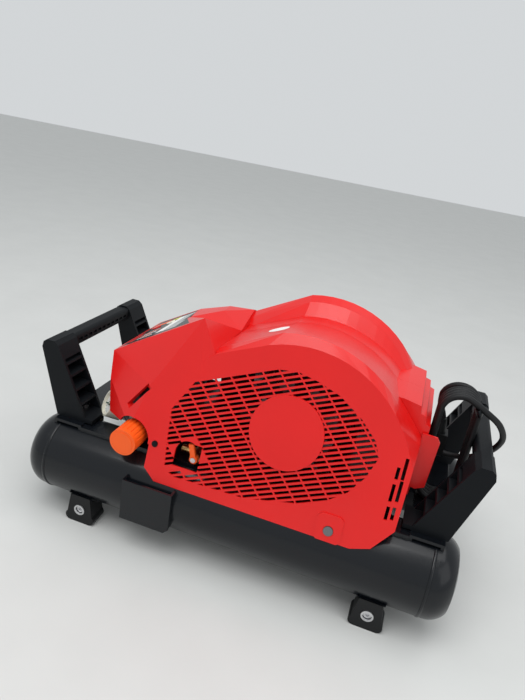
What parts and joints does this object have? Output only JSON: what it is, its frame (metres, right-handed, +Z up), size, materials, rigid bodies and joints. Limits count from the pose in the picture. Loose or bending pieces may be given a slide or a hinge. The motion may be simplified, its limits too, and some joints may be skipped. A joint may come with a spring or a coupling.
{
  "type": "portable air compressor",
  "caption": "Portable twin-tank air compressor: red plastic cover over a motor and two-stage pump, black tanks, carry handles, gauges and rubber feet.",
  "frame": {"origin": "on the ground, under the middle of the frame", "axes": "+X along the tanks towards the cord, +Y towards the rear, +Z up; the louvred front faces -Y"},
  "size_m": [0.6165, 0.332, 0.3494],
  "materials": {
    "black_paint": "satin",
    "black_plastic": "matt",
    "bare_steel": "bright",
    "black_rubber": "matt",
    "cast_alloy": "as cast",
    "red_plastic": "gloss",
    "orange_plastic": "satin",
    "brass_metal": "machined",
    "cream_plastic": "satin",
    "gauge_hand": "matt",
    "panel_face": "gloss"
  },
  "bodies": {
    "frame": {"front_tank_shell": "black_paint", "rear_tank_shell": "black_paint", "tank_ends": "black_paint", "left_crossmember": "black_paint", "right_crossmember": "black_paint", "tank_rails": "black_paint", "deck_plate": "black_paint", "tank_brackets": "black_paint", "left_handle_legs": "black_plastic", "left_grip": "black_plastic", "right_handle_legs": "black_plastic", "right_grip": "black_plastic", "handle_bolts": "bare_steel", "foot_brackets": "black_paint", "rubber_feet": "black_rubber", "foot_screws": "bare_steel", "vibration_mounts": "black_rubber", "crankcase": "cast_alloy", "crankcase_cover": "cast_alloy", "motor_stator": "cast_alloy", "shaft_bearings": "bare_steel", "low_pressure_cylinder": "cast_alloy", "high_pressure_cylinder": "cast_alloy", "pump_heads": "cast_alloy", "intercooler_pipe": "brass_metal", "intake_filter": "black_plastic", "control_box": "black_plastic", "front_cover": "red_plastic", "front_grille": "red_plastic", "rear_cover": "red_plastic", "cord_guard": "red_plastic", "cover_screws": "bare_steel", "control_panel": "panel_face", "air_manifold": "cast_alloy", "regulators": "cast_alloy", "front_gauge": "cream_plastic", "rear_gauge": "cream_plastic", "couplers": "brass_metal", "safety_valve": "brass_metal", "drain_valve": "brass_metal", "cord_gland": "black_rubber", "cord_lead": "black_rubber", "cord_hank": "black_rubber", "plug": "black_rubber"},
    "crank": {"crankshaft": "bare_steel", "motor_rotor": "bare_steel", "cooling_fan": "black_plastic"},
    "low_pressure_piston": {"low_pressure_piston": "cast_alloy"},
    "high_pressure_piston": {"high_pressure_piston": "cast_alloy"},
    "high_pressure_knob": {"high_pressure_knob": "orange_plastic"},
    "normal_pressure_knob": {"normal_pressure_knob": "black_plastic"},
    "drain_lever": {"drain_lever": "orange_plastic"},
    "front_needle": {"front_needle": "gauge_hand"},
    "rear_needle": {"rear_needle": "gauge_hand"},
    "power_button": {"power_button": "red_plastic"},
    "mode_button": {"mode_button": "cream_plastic"},
    "high_pressure_sleeve_a": {"high_pressure_sleeve_a": "bare_steel"},
    "high_pressure_sleeve_b": {"high_pressure_sleeve_b": "bare_steel"},
    "normal_pressure_sleeve_a": {"normal_pressure_sleeve_a": "bare_steel"},
    "normal_pressure_sleeve_b": {"normal_pressure_sleeve_b": "bare_steel"}
  },
  "joints": [
    {"name": "crank_spin", "type": "hinge", "parent": "frame", "child": "crank", "pos_m": [0.058, 0, 0.214], "axis": [0, -1, 0], "continuous": true},
    {"name": "low_pressure_piston_slide", "type": "slide", "parent": "frame", "child": "low_pressure_piston", "axis": [1, 0, 0], "range_m": [-0.008, 0.008]},
    {"name": "high_pressure_piston_slide", "type": "slide", "parent": "frame", "child": "high_pressure_piston", "axis": [-1, 0, 0], "range_m": [-0.008, 0.008]},
    {"name": "high_pressure_knob_turn", "type": "hinge", "parent": "frame", "child": "high_pressure_knob", "pos_m": [-0.147, -0.137, 0.154], "axis": [0, -1, 0], "range_deg": [-360, 360]},
    {"name": "normal_pressure_knob_turn", "type": "hinge", "parent": "frame", "child": "normal_pressure_knob", "pos_m": [-0.147, 0.137, 0.154], "axis": [0, 1, 0], "range_deg": [-360, 360]},
    {"name": "drain_lever_turn", "type": "hinge", "parent": "frame", "child": "drain_lever", "pos_m": [-0.056, -0.1305, 0.14667], "axis": [0, -1, 0], "range_deg": [0, 90]},
    {"name": "front_needle_turn", "type": "hinge", "parent": "frame", "child": "front_needle", "pos_m": [-0.214, -0.078, 0.156], "axis": [0.6947, 0.6039, -0.3907], "range_deg": [0, 270]},
    {"name": "rear_needle_turn", "type": "hinge", "parent": "frame", "child": "rear_needle", "pos_m": [-0.214, 0.078, 0.156], "axis": [0.6947, -0.6039, -0.3907], "range_deg": [0, 270]},
    {"name": "power_button_press", "type": "slide", "parent": "frame", "child": "power_button", "axis": [0.5419, 0, -0.8404], "range_m": [0, 0.0012], "stiffness_N_per_m": 300},
    {"name": "mode_button_press", "type": "slide", "parent": "frame", "child": "mode_button", "axis": [0.5419, 0, -0.8404], "range_m": [0, 0.0012], "stiffness_N_per_m": 300},
    {"name": "high_pressure_sleeve_a_slide", "type": "slide", "parent": "frame", "child": "high_pressure_sleeve_a", "axis": [1, 0, 0], "range_m": [0, 0.005], "stiffness_N_per_m": 800},
    {"name": "high_pressure_sleeve_b_slide", "type": "slide", "parent": "frame", "child": "high_pressure_sleeve_b", "axis": [1, 0, 0], "range_m": [0, 0.005], "stiffness_N_per_m": 800},
    {"name": "normal_pressure_sleeve_a_slide", "type": "slide", "parent": "frame", "child": "normal_pressure_sleeve_a", "axis": [1, 0, 0], "range_m": [0, 0.005], "stiffness_N_per_m": 800},
    {"name": "normal_pressure_sleeve_b_slide", "type": "slide", "parent": "frame", "child": "normal_pressure_sleeve_b", "axis": [1, 0, 0], "range_m": [0, 0.005], "stiffness_N_per_m": 800}
  ]
}
